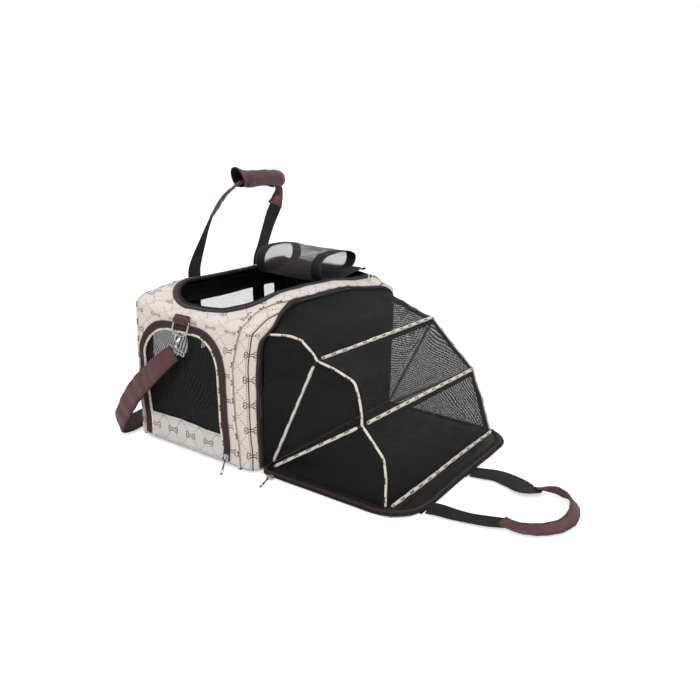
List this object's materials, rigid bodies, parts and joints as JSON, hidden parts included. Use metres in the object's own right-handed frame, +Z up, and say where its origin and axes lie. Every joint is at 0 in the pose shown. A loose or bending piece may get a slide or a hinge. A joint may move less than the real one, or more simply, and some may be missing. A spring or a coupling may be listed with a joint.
{
  "type": "pet carrier bag",
  "caption": "Soft pet carrier with mesh windows, roll-up top flap, end door, carry handles, shoulder strap and a fold-out mesh tent on one side.",
  "frame": {"origin": "middle of the cabin's footprint, on the ground", "axes": "+X along the bag away from the end door, +Y towards the back panel (the tent opens to -Y), +Z up"},
  "size_m": [0.5202, 0.8456, 0.4878],
  "materials": {
    "print_cloth": "cream coated canvas with a small brown bone and dot print",
    "zip_tape": "dark brown coil zipper tape and binding",
    "black_mesh": "open black polyester mesh",
    "webbing": "black ribbed webbing",
    "leather": "burgundy leather-look with fine grain, satin",
    "rod_sleeve": "cream printed sleeve over a wire",
    "spring_steel": "bare spring wire",
    "nickel": "polished nickel",
    "board": "stiff board, black",
    "fleece": "dark fleece",
    "plastic": "black moulded plastic"
  },
  "bodies": {
    "cabin": {"cabin_shell": "print_cloth", "back_window_mesh": "black_mesh", "end_window_mesh": "black_mesh", "top_zip_track": "zip_tape", "door_zip_track": "zip_tape", "side_zip_track": "zip_tape", "front_frame_wire": "spring_steel", "back_frame_wire": "spring_steel", "base_board": "board", "back_webbing_near": "webbing", "back_webbing_far": "webbing", "bow_anchor_near": "plastic", "bow_anchor_far": "plastic", "strap_tab_near": "leather", "strap_tab_far": "leather", "tent_mesh": "black_mesh", "top_flap_1": "black_mesh"},
    "floor_mat": {"floor_mat": "fleece"},
    "inner_bow": {"inner_bow": "rod_sleeve"},
    "middle_bow": {"middle_bow": "rod_sleeve"},
    "side_panel": {"side_panel_board": "print_cloth", "side_panel_zip_track": "zip_tape", "outer_rod": "rod_sleeve", "panel_webbing_near": "webbing", "panel_webbing_far": "webbing"},
    "side_slider": {"side_slider": "nickel"},
    "side_pull": {"side_pull": "nickel"},
    "side_handle": {"side_handle_webbing_near": "webbing", "side_handle_webbing_far": "webbing", "side_handle_grip": "leather"},
    "back_handle": {"back_handle_webbing_near": "webbing", "back_handle_webbing_far": "webbing", "back_handle_core": "leather"},
    "grip_wrap": {"grip_wrap": "leather"},
    "end_door": {"door_mesh": "black_mesh", "door_strip": "print_cloth", "door_binding": "zip_tape"},
    "door_slider": {"door_slider": "nickel"},
    "door_pull": {"door_pull": "nickel"},
    "top_slider": {"top_slider": "nickel"},
    "top_pull": {"top_pull": "nickel"},
    "d_ring_near": {"d_ring_near": "nickel"},
    "d_ring_far": {"d_ring_far": "nickel"},
    "shoulder_strap": {"shoulder_strap": "leather", "snap_hook_near": "nickel", "snap_hook_far": "nickel", "hook_swivel_near": "nickel", "hook_swivel_far": "nickel", "strap_loop_near": "nickel", "strap_loop_far": "nickel"},
    "hook_gate_near": {"hook_gate_near": "nickel"},
    "hook_gate_far": {"hook_gate_far": "nickel"},
    "top_flap_2": {"top_flap_2": "black_mesh"},
    "top_flap_3": {"top_flap_3": "black_mesh"},
    "top_flap_4": {"top_flap_4": "black_mesh"},
    "top_flap_5": {"top_flap_5": "black_mesh"},
    "top_flap_6": {"top_flap_6": "black_mesh"},
    "top_flap_7": {"top_flap_7": "black_mesh"}
  },
  "joints": [
    {"name": "inner_bow_fold", "type": "hinge", "parent": "cabin", "child": "inner_bow", "pos_m": [0, -0.155, 0.007], "axis": [-1, 0, 0], "range_deg": [0, 31.6]},
    {"name": "middle_bow_fold", "type": "hinge", "parent": "inner_bow", "child": "middle_bow", "pos_m": [0, -0.155, 0.007], "axis": [-1, 0, 0], "range_deg": [0, 29.1]},
    {"name": "side_panel_fold", "type": "hinge", "parent": "middle_bow", "child": "side_panel", "pos_m": [0, -0.155, 0.007], "axis": [-1, 0, 0], "range_deg": [0, 29.5], "deforming": ["tent_mesh"]},
    {"name": "side_slider_slide", "type": "slide", "parent": "side_panel", "child": "side_slider", "axis": [0, -1, 0], "range_m": [0, 0.17]},
    {"name": "side_pull_swing", "type": "hinge", "parent": "side_slider", "child": "side_pull", "pos_m": [-0.224, -0.175, 0.0056], "axis": [0, -1, 0], "range_deg": [-110, 0]},
    {"name": "side_handle_lift", "type": "hinge", "parent": "side_panel", "child": "side_handle", "pos_m": [0, -0.438, 0.0042], "axis": [1, 0, 0], "range_deg": [-60, 0]},
    {"name": "back_handle_lean", "type": "hinge", "parent": "cabin", "child": "back_handle", "pos_m": [0, 0.1528, 0.272], "axis": [1, 0, 0], "range_deg": [-150, 20]},
    {"name": "grip_wrap_turn", "type": "hinge", "parent": "back_handle", "child": "grip_wrap", "pos_m": [0.076, 0.156, 0.463], "axis": [0.9996, 0, 0.0292], "range_deg": [-35, 35]},
    {"name": "end_door_drop", "type": "hinge", "parent": "cabin", "child": "end_door", "pos_m": [-0.2259, 0.02, 0.012], "axis": [0, -1, 0], "range_deg": [0, 90], "deforming": ["shoulder_strap"]},
    {"name": "door_slider_slide", "type": "slide", "parent": "cabin", "child": "door_slider", "axis": [0, 0, 1], "range_m": [0, 0.13]},
    {"name": "door_pull_swing", "type": "hinge", "parent": "door_slider", "child": "door_pull", "pos_m": [-0.2334, -0.0855, 0.018], "axis": [0, 1, 0], "range_deg": [0, 100]},
    {"name": "top_slider_slide", "type": "slide", "parent": "cabin", "child": "top_slider", "axis": [-1, 0, 0], "range_m": [0, 0.24]},
    {"name": "top_pull_swing", "type": "hinge", "parent": "top_slider", "child": "top_pull", "pos_m": [0.1432, -0.1095, 0.3046], "axis": [0, 1, 0], "range_deg": [0, 100]},
    {"name": "floor_mat_lift", "type": "slide", "parent": "cabin", "child": "floor_mat", "axis": [0, 0, 1], "range_m": [0, 0.1]},
    {"name": "top_flap_unroll_2", "type": "hinge", "parent": "cabin", "child": "top_flap_2", "pos_m": [0.057, 0.005, 0.3041], "axis": [0, -1, 0], "range_deg": [0, 60]},
    {"name": "top_flap_unroll_3", "type": "hinge", "parent": "top_flap_2", "child": "top_flap_3", "pos_m": [0.046, 0.005, 0.32315], "axis": [0, -1, 0], "range_deg": [0, 60]},
    {"name": "top_flap_unroll_4", "type": "hinge", "parent": "top_flap_3", "child": "top_flap_4", "pos_m": [0.057, 0.005, 0.3422], "axis": [0, -1, 0], "range_deg": [0, 60]},
    {"name": "top_flap_unroll_5", "type": "hinge", "parent": "top_flap_4", "child": "top_flap_5", "pos_m": [0.162, 0.005, 0.3422], "axis": [0, -1, 0], "range_deg": [0, 60]},
    {"name": "top_flap_unroll_6", "type": "hinge", "parent": "top_flap_5", "child": "top_flap_6", "pos_m": [0.16975, 0.005, 0.32878], "axis": [0, -1, 0], "range_deg": [0, 60]},
    {"name": "top_flap_unroll_7", "type": "hinge", "parent": "top_flap_6", "child": "top_flap_7", "pos_m": [0.162, 0.005, 0.31536], "axis": [0, -1, 0], "range_deg": [0, 60]},
    {"name": "d_ring_near_swing", "type": "hinge", "parent": "cabin", "child": "d_ring_near", "pos_m": [-0.23, 0.013, 0.2465], "axis": [0, 1, 0], "range_deg": [-5, 1]},
    {"name": "d_ring_far_swing", "type": "hinge", "parent": "cabin", "child": "d_ring_far", "pos_m": [0.23, 0.013, 0.2465], "axis": [0, -1, 0], "range_deg": [-5, 1]},
    {"name": "shoulder_strap_lift", "type": "hinge", "parent": "cabin", "child": "shoulder_strap", "pos_m": [0, 0.013, 0.22395], "axis": [1, 0, 0], "range_deg": [0, 11]},
    {"name": "hook_gate_near_open", "type": "hinge", "parent": "shoulder_strap", "child": "hook_gate_near", "pos_m": [-0.24131, 0.01637, 0.21139], "axis": [0, 0.9659, 0.2588], "range_deg": [0, 18]},
    {"name": "hook_gate_far_open", "type": "hinge", "parent": "shoulder_strap", "child": "hook_gate_far", "pos_m": [0.24131, 0.01637, 0.21139], "axis": [0, -0.9659, -0.2588], "range_deg": [0, 18]}
  ],
  "couplings": [
    {"joint": "inner_bow_fold", "follows": "side_panel_fold", "ratio": 1.0678},
    {"joint": "middle_bow_fold", "follows": "side_panel_fold", "ratio": 0.98305},
    {"joint": "top_flap_unroll_3", "follows": "top_flap_unroll_2", "ratio": 1},
    {"joint": "top_flap_unroll_4", "follows": "top_flap_unroll_2", "ratio": 1},
    {"joint": "top_flap_unroll_5", "follows": "top_flap_unroll_2", "ratio": 1},
    {"joint": "top_flap_unroll_6", "follows": "top_flap_unroll_2", "ratio": 1},
    {"joint": "top_flap_unroll_7", "follows": "top_flap_unroll_2", "ratio": 1}
  ]
}
